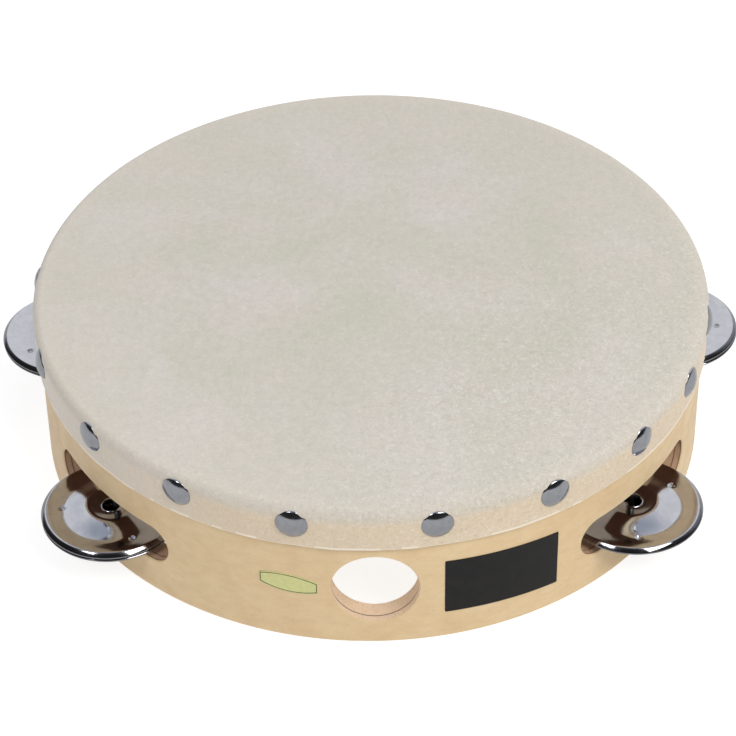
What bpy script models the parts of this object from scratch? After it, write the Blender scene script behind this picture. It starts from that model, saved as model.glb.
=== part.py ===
"""A headed tambourine, 200 mm across.

A bent-wood hoop of two plies carries a skin head, tacked on through its lap, and six pairs of
pressed jingles that ride loose on steel pins in slots through the wall. A thumb hole, a badge and
a sticker complete it.

The hoop stands on its open bottom edge at z = 0 with the head on top and the thumb hole in front,
towards -Y. Angles round the hoop are in degrees from the thumb hole, positive towards +X. Metres.
"""

import math

import bmesh
import bpy
from mathutils import Matrix, Vector

# Driving dimensions
HEAD_RADIUS = 0.100
HEIGHT = 0.050
SKIN_THICKNESS = 0.0009
GAP = 0.0003
HOOP_WALL = 0.0073
OUTER_PLY_THICKNESS = 0.0021
# The rear jingles reach further out than the front tacks, so the middle of the footprint,
# which is the origin, lies this far behind the hoop's axis.
HOOP_AXIS_Y = -0.0030
HOOP_SEGMENTS = 60

# Hoop
HOOP_RADIUS = HEAD_RADIUS - SKIN_THICKNESS - GAP
PLY_RADIUS = HOOP_RADIUS - OUTER_PLY_THICKNESS - GAP
BORE_RADIUS = HOOP_RADIUS - HOOP_WALL
WOOD_HEIGHT = HEIGHT - SKIN_THICKNESS - GAP
TOP_EDGE_RADIUS = 0.0013
EASED_EDGE = 0.0006

# Skin
SKIN_LAP_BOTTOM = 0.0363
CORNER_STEPS = 3

# Thumb hole
THUMB_HOLE_RADIUS = 0.0123
THUMB_HOLE_Z = 0.0204
THUMB_HOLE_SEGMENTS = 28

# Jingle slots: the hoop is divided in seven, with the thumb hole in one division
DIVISIONS = 7
SLOT_WIDTH = 0.0524
SLOT_BOTTOM = 0.0116
SLOT_TOP = 0.0244
SLOT_END_STEPS = 4

# Pins
PIN_CIRCLE_RADIUS = 0.0949
PIN_RADIUS = 0.0009
PIN_BOTTOM = 0.0006
PIN_TOP = 0.0330
PIN_SEGMENTS = 10
PIN_HOLE_SEGMENTS = 8

# Jingles: pressed sheet with a turned rim, a dished outer ring and a raised crown round the hole.
# Heights are above the rim of an upper jingle.
JINGLE_RADIUS = 0.0202
JINGLE_HOLE_RADIUS = 0.0027
JINGLE_HEIGHT = 0.0017
JINGLE_SHEET = 0.0005
JINGLE_SEGMENTS = 20
RIM_ROUND = 0.0007
DISH_RADIUS = 0.0137
DISH_DEPTH = 0.0005
CROWN_RADIUS = 0.0068
CROWN_HEIGHT = 0.0010
COLLAR_WIDTH = 0.0007
# How each pair hangs on its pin, in the order of the slots: outward and sideways shift of the
# upper jingle, then of the lower one. The holes leave 1.8 mm of play round a pin.
JINGLE_SHIFTS = (
    (0.0012, -0.0009, -0.0012, -0.0003),
    (0.0005, 0.0002, 0.0006, 0.0001),
    (0.0006, 0.0008, -0.0004, 0.0006),
    (0.0009, -0.0007, 0.0011, 0.0001),
    (0.0012, 0.0003, 0.0011, 0.0002),
    (0.0012, -0.0009, 0.0012, -0.0008),
)

# Tacks: driven in by hand, so their spacing wanders round 20 degrees
TACK_ANGLES = (10, 30, 49, 66, 83, 103, 123, 143, 163, 184, 204, 224, 244, 264, 286, 307, 327, 347)
TACK_Z = 0.0444
REAR_TACK_Z = 0.0434
REAR_TACK_ANGLES = (100, 250)
TACK_HEAD_RADIUS = 0.0047
TACK_HEAD_HEIGHT = 0.0018
TACK_HEAD_SEGMENTS = 12
TACK_HEAD_RINGS = 3
TACK_SHANK_RADIUS = 0.0007
TACK_POINT_LENGTH = 0.0012
TACK_HOLE_SEGMENTS = 6
TACK_TIP_RADIUS = 0.0940
TACK_HOLE_BOTTOM = 0.0936

# Badge and sticker, both on the outer face: angles, heights and slant
LABEL_THICKNESS = 0.0003
BADGE_ANGLE = 21.3
BADGE_Z = 0.0189
BADGE_WIDTH = 0.0344
BADGE_HEIGHT = 0.0193
BADGE_CORNER = 0.0003
BADGE_SLANT = -1.8
STICKER_ANGLE = -14.1
STICKER_Z = 0.0208
STICKER_WIDTH = 0.0168
STICKER_HEIGHT = 0.0066
STICKER_TAPER = 0.42
STICKER_SLANT = -5.0
LABEL_COLUMNS = 12

CUTTER_MARGIN = 0.004


def clear_scene():
    for obj in list(bpy.data.objects):
        bpy.data.objects.remove(obj, do_unlink=True)


def make_material(name, colour, roughness, metallic=0.0):
    material = bpy.data.materials.new(name)
    material.use_nodes = True
    shader = material.node_tree.nodes["Principled BSDF"]
    shader.inputs["Base Color"].default_value = (*colour, 1.0)
    shader.inputs["Roughness"].default_value = roughness
    shader.inputs["Metallic"].default_value = metallic
    return material


def make_object(name, bm, material, parent):
    """Turns a bmesh into a named object whose faces point out, parented to the hoop's axis."""
    bmesh.ops.remove_doubles(bm, verts=bm.verts, dist=0.000001)
    bmesh.ops.recalc_face_normals(bm, faces=bm.faces)
    mesh = bpy.data.meshes.new(name)
    bm.to_mesh(mesh)
    bm.free()
    if material:
        mesh.materials.append(material)
    mesh.shade_smooth()
    mesh.set_sharp_from_angle(angle=math.radians(35))
    obj = bpy.data.objects.new(name, mesh)
    bpy.context.scene.collection.objects.link(obj)
    obj.parent = parent
    return obj


def turned(profile, segments):
    """A closed outline of (radius, z) points turned about the Z axis."""
    bm = bmesh.new()
    verts = [bm.verts.new((radius, 0.0, z)) for radius, z in profile]
    edges = [bm.edges.new((verts[i - 1], verts[i])) for i in range(len(verts))]
    bmesh.ops.spin(
        bm,
        geom=verts + edges,
        cent=(0.0, 0.0, 0.0),
        axis=(0.0, 0.0, 1.0),
        angle=math.tau,
        steps=segments,
        use_merge=True,
        use_duplicate=False,
    )
    # A line of the outline that runs along the axis leaves collapsed faces there.
    bmesh.ops.remove_doubles(bm, verts=bm.verts, dist=0.000001)
    bmesh.ops.dissolve_degenerate(bm, edges=bm.edges, dist=0.000001)
    return bm


def quarter_arc(centre_r, centre_z, radius, start, end, steps):
    """Points of an arc in the (radius, z) plane, from one angle to another in degrees."""
    points = []
    for step in range(steps + 1):
        angle = math.radians(start + (end - start) * step / steps)
        points.append((centre_r + radius * math.cos(angle), centre_z + radius * math.sin(angle)))
    return points


def outward(angle):
    """The unit vector pointing out of the hoop at an angle from the thumb hole."""
    turn = math.radians(angle)
    return Vector((math.sin(turn), -math.cos(turn), 0.0))


def sideways(angle):
    """The unit vector along the hoop, towards larger angles."""
    turn = math.radians(angle)
    return Vector((math.cos(turn), math.sin(turn), 0.0))


def radial_frame(angle, radius, z):
    """A placing whose Z axis points out of the hoop at the given angle, radius and height."""
    rotation = Matrix.Rotation(math.radians(angle), 4, "Z") @ Matrix.Rotation(math.radians(90), 4, "X")
    return Matrix.Translation(outward(angle) * radius + Vector((0.0, 0.0, z))) @ rotation


def make_hoop(materials, axis):
    """The two plies, each a turned ring: outer one rounded at the top, inner one eased."""
    outer_profile = [
        (HOOP_RADIUS - OUTER_PLY_THICKNESS, 0.0),
        (HOOP_RADIUS - EASED_EDGE, 0.0),
        (HOOP_RADIUS, EASED_EDGE),
    ]
    outer_profile += quarter_arc(
        HOOP_RADIUS - TOP_EDGE_RADIUS, WOOD_HEIGHT - TOP_EDGE_RADIUS, TOP_EDGE_RADIUS, 0, 90, CORNER_STEPS
    )
    outer_profile.append((HOOP_RADIUS - OUTER_PLY_THICKNESS, WOOD_HEIGHT))
    inner_profile = [
        (BORE_RADIUS + EASED_EDGE, 0.0),
        (PLY_RADIUS, 0.0),
        (PLY_RADIUS, WOOD_HEIGHT),
        (BORE_RADIUS + EASED_EDGE, WOOD_HEIGHT),
        (BORE_RADIUS, WOOD_HEIGHT - EASED_EDGE),
        (BORE_RADIUS, EASED_EDGE),
    ]
    outer = make_object("hoop_outer_ply", turned(outer_profile, HOOP_SEGMENTS), materials["wood"], axis)
    inner = make_object("hoop_inner_ply", turned(inner_profile, HOOP_SEGMENTS), materials["wood"], axis)
    return outer, inner


def make_skin(materials, axis):
    """The head, with its top edge turned down over the hoop and lapped on the outer face."""
    bend_r = HOOP_RADIUS - TOP_EDGE_RADIUS
    bend_z = WOOD_HEIGHT - TOP_EDGE_RADIUS
    inner_bend = TOP_EDGE_RADIUS + GAP
    outer_bend = inner_bend + SKIN_THICKNESS
    profile = [(0.0, HEIGHT - SKIN_THICKNESS), (0.0, HEIGHT)]
    profile += quarter_arc(bend_r, bend_z, outer_bend, 90, 0, CORNER_STEPS)
    profile.append((HEAD_RADIUS, SKIN_LAP_BOTTOM))
    profile.append((HEAD_RADIUS - SKIN_THICKNESS, SKIN_LAP_BOTTOM))
    profile += quarter_arc(bend_r, bend_z, inner_bend, 0, 90, CORNER_STEPS)
    return make_object("skin_head", turned(profile, HOOP_SEGMENTS), materials["skin"], axis)


def make_cutter(name, bm, placing, collection, axis):
    cutter = make_object(name, bm, None, axis)
    bpy.context.scene.collection.objects.unlink(cutter)
    collection.objects.link(cutter)
    cutter.matrix_local = placing
    cutter.hide_render = True
    cutter.display_type = "WIRE"
    return cutter


def cylinder(radius, low, high, segments):
    """A capped cylinder along Z between two heights."""
    return turned([(0.0, low), (radius, low), (radius, high), (0.0, high)], segments)


def slot_outline():
    """The slot's outline as (arc length from its middle, height) points, with round ends."""
    radius = (SLOT_TOP - SLOT_BOTTOM) / 2
    middle = (SLOT_TOP + SLOT_BOTTOM) / 2
    straight = SLOT_WIDTH / 2 - radius
    steps = 2 * SLOT_END_STEPS
    right = quarter_arc(straight, middle, radius, -90, 90, steps)
    left = quarter_arc(-straight, middle, radius, 90, 270, steps)
    return right + left


def slot_cutter():
    """The slot's outline carried through the wall, so that its ends lie along the hoop's radii."""
    inner_radius = BORE_RADIUS - CUTTER_MARGIN
    outer_radius = HOOP_RADIUS + CUTTER_MARGIN
    bm = bmesh.new()
    rings = []
    for radius in (inner_radius, outer_radius):
        ring = []
        for along, z in slot_outline():
            angle = math.degrees(along / HOOP_RADIUS)
            ring.append(bm.verts.new(outward(angle) * radius + Vector((0.0, 0.0, z))))
        rings.append(ring)
    count = len(rings[0])
    for i in range(count):
        j = (i + 1) % count
        bm.faces.new((rings[0][i], rings[0][j], rings[1][j], rings[1][i]))
    for ring in rings:
        # Each cap is upright strips from the left tip to the right one, so that all of it is flat.
        for low in range(-SLOT_END_STEPS - 1, SLOT_END_STEPS):
            high = 2 * SLOT_END_STEPS - low
            corners = dict.fromkeys(i % count for i in (low, low + 1, high - 1, high))
            bm.faces.new([ring[i] for i in corners])
    return bm


def slot_angles():
    """The middle of each jingle slot, in degrees from the thumb hole."""
    return [360.0 * number / DIVISIONS for number in range(1, DIVISIONS)]


def cut_hoop_and_skin(outer, inner, skin, axis):
    """Cuts the slots, the thumb hole, the pin holes and the tack holes."""
    openings = bpy.data.collections.new("opening_cutters")
    pin_holes = bpy.data.collections.new("pin_hole_cutters")
    tack_holes = bpy.data.collections.new("tack_hole_cutters")
    for collection in (openings, pin_holes, tack_holes):
        bpy.context.scene.collection.children.link(collection)
    thumb = cylinder(THUMB_HOLE_RADIUS, -HOOP_WALL - CUTTER_MARGIN, CUTTER_MARGIN, THUMB_HOLE_SEGMENTS)
    make_cutter("thumb_hole_cutter", thumb, radial_frame(0.0, HOOP_RADIUS, THUMB_HOLE_Z), openings, axis)
    for number, angle in enumerate(slot_angles(), 1):
        turn = Matrix.Rotation(math.radians(angle), 4, "Z")
        make_cutter(f"slot_cutter_{number}", slot_cutter(), turn, openings, axis)
        hole = cylinder(PIN_RADIUS + GAP, -CUTTER_MARGIN, PIN_TOP + GAP, PIN_HOLE_SEGMENTS)
        place = Matrix.Translation(outward(angle) * PIN_CIRCLE_RADIUS) @ turn
        make_cutter(f"pin_hole_cutter_{number}", hole, place, pin_holes, axis)
    for number, angle in enumerate(TACK_ANGLES, 1):
        hole = cylinder(
            TACK_SHANK_RADIUS + GAP, TACK_HOLE_BOTTOM, HEAD_RADIUS + CUTTER_MARGIN, TACK_HOLE_SEGMENTS
        )
        place = radial_frame(angle, 0.0, tack_height(angle))
        make_cutter(f"tack_hole_cutter_{number}", hole, place, tack_holes, axis)
    cuts = (
        (outer, (openings, tack_holes)),
        (inner, (openings, tack_holes, pin_holes)),
        (skin, (tack_holes,)),
    )
    for obj, collections in cuts:
        for collection in collections:
            boolean = obj.modifiers.new(collection.name, "BOOLEAN")
            boolean.operation = "DIFFERENCE"
            boolean.solver = "EXACT"
            boolean.operand_type = "COLLECTION"
            boolean.collection = collection


def tack_height(angle):
    """The tacks round the back are driven a little lower than those in front."""
    first, last = REAR_TACK_ANGLES
    return REAR_TACK_Z if first < angle < last else TACK_Z


def tack():
    """A turned domed head with a thinner shank down to its point. Z runs out of the hoop."""
    underside = HEAD_RADIUS + GAP
    sphere = (TACK_HEAD_RADIUS**2 + TACK_HEAD_HEIGHT**2) / (2 * TACK_HEAD_HEIGHT)
    reach = math.asin(TACK_HEAD_RADIUS / sphere)
    centre = underside + TACK_HEAD_HEIGHT - sphere
    profile = []
    for ring in range(TACK_HEAD_RINGS + 1):
        angle = reach * ring / TACK_HEAD_RINGS
        profile.append((sphere * math.sin(angle), centre + sphere * math.cos(angle)))
    profile += [
        (TACK_SHANK_RADIUS, underside),
        (TACK_SHANK_RADIUS, TACK_TIP_RADIUS + TACK_POINT_LENGTH),
        (0.0, TACK_TIP_RADIUS),
    ]
    return turned(profile, TACK_HEAD_SEGMENTS)


def make_tacks(materials, axis):
    for number, angle in enumerate(TACK_ANGLES, 1):
        obj = make_object(f"tack_{number:02d}", tack(), materials["nickel"], axis)
        obj.matrix_local = radial_frame(angle, 0.0, tack_height(angle))


def make_pins(materials, axis):
    for number, angle in enumerate(slot_angles(), 1):
        pin = cylinder(PIN_RADIUS, 0.0, PIN_TOP - PIN_BOTTOM, PIN_SEGMENTS)
        obj = make_object(f"jingle_pin_{number}", pin, materials["steel"], axis)
        obj.location = outward(angle) * PIN_CIRCLE_RADIUS + Vector((0.0, 0.0, PIN_BOTTOM))


def jingle_profile():
    """The upper jingle's outline, with z = 0 at its rim, which is turned down all round."""
    top = [
        (JINGLE_HOLE_RADIUS, 0.0),
        (JINGLE_HOLE_RADIUS + COLLAR_WIDTH, 0.0),
        (CROWN_RADIUS, CROWN_HEIGHT),
        (DISH_RADIUS, -DISH_DEPTH),
        (JINGLE_RADIUS - RIM_ROUND, 0.0),
        (JINGLE_RADIUS, -RIM_ROUND),
        (JINGLE_RADIUS, -JINGLE_HEIGHT),
    ]
    inner_wall = JINGLE_RADIUS - JINGLE_SHEET
    underside = [
        (inner_wall, -JINGLE_HEIGHT),
        (inner_wall, -RIM_ROUND),
        (DISH_RADIUS, -DISH_DEPTH - JINGLE_SHEET),
        (CROWN_RADIUS, CROWN_HEIGHT - JINGLE_SHEET),
        (JINGLE_HOLE_RADIUS, -JINGLE_SHEET),
    ]
    return top + underside


def make_jingles(materials, axis):
    """A mirrored pair on each pin. The lower jingle rests on its crown, and its rim points up."""
    lower_z = SLOT_BOTTOM + GAP + CROWN_HEIGHT
    upper_z = lower_z + JINGLE_HEIGHT + GAP + JINGLE_HEIGHT
    mirrored = [(radius, -z) for radius, z in jingle_profile()]
    for number, angle in enumerate(slot_angles(), 1):
        upper_out, upper_side, lower_out, lower_side = JINGLE_SHIFTS[number - 1]
        pin = outward(angle) * PIN_CIRCLE_RADIUS
        pair = (
            ("lower", mirrored, lower_out, lower_side, lower_z),
            ("upper", jingle_profile(), upper_out, upper_side, upper_z),
        )
        for which, profile, shift_out, shift_side, z in pair:
            bm = turned(profile, JINGLE_SEGMENTS)
            obj = make_object(f"jingle_{number}_{which}", bm, materials["nickel"], axis)
            shift = outward(angle) * shift_out + sideways(angle) * shift_side
            obj.location = pin + shift + Vector((0.0, 0.0, z))


def badge_half_height(along):
    """Half the badge's height at a place along its width: a rectangle with round corners."""
    into_corner = abs(along) - (BADGE_WIDTH / 2 - BADGE_CORNER)
    if into_corner <= 0:
        return BADGE_HEIGHT / 2
    rise = math.sqrt(max(BADGE_CORNER**2 - into_corner**2, 0.0))
    return BADGE_HEIGHT / 2 - BADGE_CORNER + rise


def sticker_half_height(along):
    """Half the sticker's height at a place along its width: a flat oval with cut-off ends."""
    across = along / (STICKER_WIDTH / 2)
    return STICKER_HEIGHT / 2 * (1.0 - STICKER_TAPER * across**2)


def curved_label(name, width, half_height, angle, z, slant, material, axis):
    """A thin sheet that lies on the hoop's outer face, made of upright columns along its width."""
    inner_radius = HOOP_RADIUS + GAP
    bm = bmesh.new()
    columns = []
    for column in range(LABEL_COLUMNS + 1):
        # Columns crowd towards the ends, where the outline turns.
        along = -width / 2 * math.cos(math.pi * column / LABEL_COLUMNS)
        half = half_height(along)
        middle = z + along * math.tan(math.radians(slant))
        place = angle + math.degrees(along / inner_radius)
        corners = []
        for radius in (inner_radius, inner_radius + LABEL_THICKNESS):
            for height in (middle - half, middle + half):
                corners.append(bm.verts.new(outward(place) * radius + Vector((0.0, 0.0, height))))
        low_in, high_in, low_out, high_out = corners
        columns.append((low_in, high_in, high_out, low_out))
    for left, right in zip(columns, columns[1:]):
        for i in range(4):
            j = (i + 1) % 4
            bm.faces.new((left[i], left[j], right[j], right[i]))
    bm.faces.new(columns[0])
    bm.faces.new(reversed(columns[-1]))
    return make_object(name, bm, material, axis)


def make_labels(materials, axis):
    curved_label(
        "badge", BADGE_WIDTH, badge_half_height, BADGE_ANGLE, BADGE_Z, BADGE_SLANT, materials["badge"], axis
    )
    curved_label(
        "sticker",
        STICKER_WIDTH,
        sticker_half_height,
        STICKER_ANGLE,
        STICKER_Z,
        STICKER_SLANT,
        materials["sticker"],
        axis,
    )


def main():
    clear_scene()
    materials = {
        "wood": make_material("maple", (0.70, 0.50, 0.29), 0.45),
        "skin": make_material("hide", (0.62, 0.55, 0.45), 0.75),
        "nickel": make_material("nickel", (0.75, 0.75, 0.76), 0.12, 1.0),
        "steel": make_material("steel", (0.55, 0.55, 0.56), 0.30, 1.0),
        "badge": make_material("badge_black", (0.02, 0.02, 0.02), 0.45),
        "sticker": make_material("sticker_green", (0.62, 0.62, 0.32), 0.50),
    }
    axis = bpy.data.objects.new("hoop_axis", None)
    bpy.context.scene.collection.objects.link(axis)
    axis.location = (0.0, HOOP_AXIS_Y, 0.0)
    outer, inner = make_hoop(materials, axis)
    skin = make_skin(materials, axis)
    cut_hoop_and_skin(outer, inner, skin, axis)
    make_tacks(materials, axis)
    make_pins(materials, axis)
    make_jingles(materials, axis)
    make_labels(materials, axis)


main()
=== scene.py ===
"""Looks of the headed tambourine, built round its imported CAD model.

The hoop stands on its open bottom edge at z = 0 with the head on top and the thumb hole in front,
towards -Y. Angles round the hoop are in degrees from the thumb hole, positive towards +X. Metres.
"""

import math
import random

import bmesh
import bpy
import numpy as np
from mathutils import Matrix, Vector, noise


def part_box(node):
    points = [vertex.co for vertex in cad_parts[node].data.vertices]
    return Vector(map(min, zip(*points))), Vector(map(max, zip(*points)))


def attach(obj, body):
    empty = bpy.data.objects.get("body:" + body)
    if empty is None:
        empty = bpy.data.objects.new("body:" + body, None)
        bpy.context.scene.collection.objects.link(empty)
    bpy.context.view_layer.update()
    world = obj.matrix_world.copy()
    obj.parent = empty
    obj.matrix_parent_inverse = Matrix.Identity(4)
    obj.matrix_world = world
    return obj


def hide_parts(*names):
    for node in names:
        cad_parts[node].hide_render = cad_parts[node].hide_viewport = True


# Meshes
COINCIDENT = 0.0000005
CUT_MERGE = 0.000004
SHARP_ANGLE = 40
EDGE_STEPS = 6

# Hoop, as the CAD has it
HEAD_RADIUS = 0.1000
HEIGHT = 0.0500
HOOP_RADIUS = 0.0988
GLUE_RADIUS = 0.09655
BORE_RADIUS = 0.0915
WOOD_HEIGHT = 0.0488
TOP_EDGE_RADIUS = 0.0013
BOTTOM_EDGE_RADIUS = 0.0007
ROUTED_EDGE_RADIUS = 0.0005
GLUE_GROOVE = 0.00014
PLY_GAP = 0.00001
HOOP_STEPS = 360

# Openings in the hoop
THUMB_HOLE_RADIUS = 0.0123
THUMB_HOLE_Z = 0.0204
THUMB_HOLE_STEPS = 40
DIVISIONS = 7
SLOT_ANGLES = [360.0 * number / DIVISIONS for number in range(1, DIVISIONS)]
SLOT_WIDTH = 0.0524
SLOT_BOTTOM = 0.0116
SLOT_TOP = 0.0244
SLOT_END_STEPS = 14
SLOT_STRAIGHT_STEPS = 26
# Where the rounded rims of the openings have their points, in degrees of a quarter circle
ROUTED_EDGE_ANGLES = (72, 54, 36, 18, 0)
CUTTER_MARGIN = 0.003
# The walls of openings turn browner, partly burn and partly painted shade, from the first to the
# second of these distances sideways
BURN_AND_SHADE_BEYOND = (0.016, 0.020)
# Between these heights, and more than this far inside the outer face, faces that do not look
# straight out or in are walls of openings
CUT_WALL_LOW = 0.004
CUT_WALL_HIGH = 0.038
CUT_WALL_DEPTH = 0.0004
CUT_WALL_TURN = 0.75

# Skin
LAP_BOTTOM = 0.0363
LAP_WAVE = 0.00030
# The two waves of the cut edge: share of LAP_WAVE, frequency and seed
LAP_WAVES = ((0.7, 3.0, 5.0), (0.5, 14.0, 9.0))
# Faces of the skin below this height over the lap's end, and not looking up, are its cut edge
LAP_EDGE_HEIGHT = 0.0008
LAP_EDGE_TURN = 0.3
SKIN_THICKNESS = 0.0009
SKIN_STEPS = 420
SKIN_TOP_STEPS = 21
SKIN_BEND_STEPS = 10
SKIN_LAP_STEPS = 19
SKIN_EDGE_STEPS = 8
# The lap swells a little in and out: depth, then frequency and seed
SKIN_SWELL = 0.00012
SKIN_SWELL_NOISE = (7.0, 2.0)
# The top is slightly uneven: height, frequency, and the width next to the bend where it fades
SKIN_UNEVENNESS = 0.00010
SKIN_UNEVENNESS_FREQUENCY = 38.0
SKIN_CALM = 0.01
CUT_EDGE_LIGHTENING = 0.85
# The skin turns warmer from the first to the second of these depths below its top
WARMER_BELOW = (0.0003, 0.0052)
TACK_DENT = 0.00030
TACK_DENT_REACH = 0.0062
TACK_DENT_SPAN = 10.0

# Tacks
TACK_ANGLES = (10, 30, 49, 66, 83, 103, 123, 143, 163, 184, 204, 224, 244, 264, 286, 307, 327, 347)
TACK_Z = 0.0444
REAR_TACK_Z = 0.0434
REAR_TACK_ANGLES = (100, 250)
TACK_SEAT = 0.0998
TACK_HEAD_RADIUS = 0.0047
TACK_HEAD_HEIGHT = 0.0016
TACK_RIM = 0.00035
TACK_STEPS = 56
TACK_DOME_STEPS = 16
# The dome reaches this share of the way to the head's edge, and a rolled rim goes on from there
TACK_DOME_SHARE = 0.93
TACK_UNDERSIDE = 0.0002
TACK_SHANK_RADIUS = 0.0009
TACK_SHANK_END = 0.0950
TACK_POINT = 0.0943
TACK_LEAN = 2.5
TACK_SEED = 11

# Pins
PIN_CIRCLE_RADIUS = 0.0949
PIN_RADIUS = 0.0009
PIN_BOTTOM = 0.0003
PIN_TOP = 0.0330
PIN_CLEARANCE = 0.00010
# Chamfers at the pin's two ends: share of its radius, and height
PIN_FOOT = (0.8, 0.0002)
PIN_TIP = (0.4, 0.0010)
PIN_STEPS = 32
PIN_HOLE_STEPS = 24
PIN_HOLE_END = 0.0005
PIN_HOLE_FLARE = 1.35
PIN_HOLE_FLARE_DEPTH = 0.0004

# Jingles
JINGLE_RADIUS = 0.0202
JINGLE_HEIGHT = 0.0017
JINGLE_SHEET = 0.0005
JINGLE_RIM = 0.00115
DIMPLE_RADIUS = 0.0012
DIMPLE_DEPTH = 0.00050
DIMPLE_CIRCLE_RADIUS = 0.0141
DIMPLE_ANGLES = (0.0, 120.0, 240.0)
# Steps round the jingle to either side of a dimple, their size in degrees, and steps in between
DIMPLE_STEPS = 8
DIMPLE_STEP = 0.85
BETWEEN_DIMPLES_STEPS = 34
FACE_SPACING = 0.00028
UNDERSIDE_SPACING = 0.00060
LOWER_JINGLE_Z = 0.0129
UPPER_JINGLE_Z = 0.0166
# Outward and sideways shift of the upper jingle, then of the lower one, in the order of the slots
JINGLE_SHIFTS = (
    (0.0012, -0.0009, -0.0012, -0.0003),
    (0.0005, 0.0002, 0.0006, 0.0001),
    (0.0006, 0.0008, -0.0004, 0.0006),
    (0.0009, -0.0007, 0.0011, 0.0001),
    (0.0012, 0.0003, 0.0011, 0.0002),
    (0.0012, -0.0009, 0.0012, -0.0008),
)
# How far the dimples of the upper and the lower jingle of each pair are turned, in degrees
DIMPLE_TURNS = ((-19.0, 35.0), (10.0, 80.0), (50.0, 5.0), (95.0, 28.0), (80.0, 15.0), (-10.0, 88.0))

# Badge and sticker
LABEL_THICKNESS = 0.00018
LABEL_SUNK = 0.00005
LABEL_COLUMNS = 48
BADGE_INSETS = (0.0, 0.0003)
STICKER_INSETS = (0.0, 0.00022, 0.00048)
BADGE = {"angle": 21.3, "z": 0.0189, "width": 0.0344, "height": 0.0193, "slant": -1.8}
BADGE_CORNER = 0.0003
STICKER = {"angle": -14.1, "z": 0.0208, "width": 0.0168, "height": 0.0066, "slant": -5.0}
STICKER_TAPER = 0.42

# Metals: name, lighter and darker colour, roughness, turned rings per metre, depth of scratches
METALS = (
    ("nickel", (172, 173, 177), (160, 162, 167), 0.15, 3000.0, 0.000004),
    ("jingle_nickel", (190, 191, 196), (182, 183, 189), 0.12, 3400.0, 0.000005),
    # The rim metal is the jingles' nickel made darker, as painted shade on their rims and skirts.
    ("jingle_rim_shaded", (150, 150, 154), (138, 138, 142), 0.10, 3400.0, 0.000002),
    ("pin_steel", (96, 93, 90), (70, 68, 66), 0.36, 2000.0, 0.000006),
)

# Camera: where it looks, how far and how high it stands, and its roll, framing and lens
LOOK_HEIGHT = 0.023
CAMERA_DISTANCE = 0.85743
CAMERA_ELEVATION = 39.803
CAMERA_ROLL = -0.86997
CAMERA_LENS = 138.59
CAMERA_SENSOR = 36.0
CAMERA_SHIFT = (-0.0048, -0.0190)

# Studio
FLOOR_HALF_SIZE = 30.0
FLOOR_GAP = 0.0002
FLOOR_COLOUR = (0.35, 0.35, 0.35, 1.0)
FLOOR_GLOW = 0.80
FLOOR_MIRRORED_GLOW = 0.36
BACKDROP_DIRECTION = (0.10, 0.70, 0.70)
BACKDROP_STOPS = [
    (0.00, (0.03, 0.03, 0.03, 1.0)),
    (0.22, (0.06, 0.06, 0.062, 1.0)),
    (0.68, (0.68, 0.72, 0.80, 1.0)),
    (1.00, (1.04, 1.04, 1.06, 1.0)),
]
OVERHEAD_SHADE = (0.34, 0.39, 0.50, 1.0)
SEEN_BACKDROP = (0.93, 0.93, 0.94, 1.0)
LIGHT_DISTANCE = 1.9
LIGHT_ELEVATION = 50.0
# Name, azimuth, size, power and colour
LIGHTS = (
    ("key", 44.0, (1.0, 0.8), 19.8, (1.0, 0.98, 0.93)),
    ("fill", -42.0, (0.5, 0.5), 7.2, (0.97, 0.98, 1.0)),
)


def srgb(red, green, blue):
    """A screen colour from 0 to 255 as the linear colour that shaders take."""
    linear = []
    for value in (red, green, blue):
        share = value / 255
        linear.append(share / 12.92 if share <= 0.04045 else ((share + 0.055) / 1.055) ** 2.4)
    return (*linear, 1.0)


# ---------------------------------------------------------------- places round the hoop


def outward(angle):
    turn = math.radians(angle)
    return Vector((math.sin(turn), -math.cos(turn), 0.0))


def sideways(angle):
    turn = math.radians(angle)
    return Vector((math.cos(turn), math.sin(turn), 0.0))


def on_hoop(angle, radius, z):
    """A point at an angle, a distance from the hoop's axis and a height."""
    return AXIS + outward(angle) * radius + Vector((0.0, 0.0, z))


def arc(centre_r, centre_z, radius, start, end, steps):
    """Points of an arc in the (radius, z) plane, from one angle to another in degrees."""
    points = []
    for step in range(steps + 1):
        turn = math.radians(start + (end - start) * step / steps)
        points.append((centre_r + radius * math.cos(turn), centre_z + radius * math.sin(turn)))
    return points


# ---------------------------------------------------------------- meshes


def grid_faces(rows, columns, wrap_rows, wrap_columns):
    """Quads over a grid of vertices that are numbered row by row."""
    faces = []
    for row in range(rows if wrap_rows else rows - 1):
        below = (row + 1) % rows
        for column in range(columns if wrap_columns else columns - 1):
            after = (column + 1) % columns
            corners = (row, column), (row, after), (below, after), (below, column)
            faces.append([r * columns + c for r, c in corners])
    return faces


def lathe(profile, turns, closed=True):
    """(points, faces) of an outline of (radius, z) turned about Z, at given angles in radians."""
    points = [(r * math.cos(t), r * math.sin(t), z) for t in turns for r, z in profile]
    return points, grid_faces(len(turns), len(profile), True, closed)


def even_turns(steps):
    return [math.tau * step / steps for step in range(steps)]


def make_mesh(name, points, faces, kinds=()):
    """A mesh whose faces point out. Points that coincide, as at the axis, are merged. kinds gives
    each face the number of its material."""
    mesh = bpy.data.meshes.new(name)
    mesh.from_pydata([tuple(p) for p in points], [], faces)
    for face, kind in zip(mesh.polygons, kinds):
        face.material_index = kind
    bm = bmesh.new()
    bm.from_mesh(mesh)
    bmesh.ops.remove_doubles(bm, verts=bm.verts, dist=COINCIDENT)
    bmesh.ops.dissolve_degenerate(bm, edges=bm.edges, dist=COINCIDENT)
    bmesh.ops.recalc_face_normals(bm, faces=bm.faces)
    bm.to_mesh(mesh)
    bm.free()
    return mesh


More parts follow.
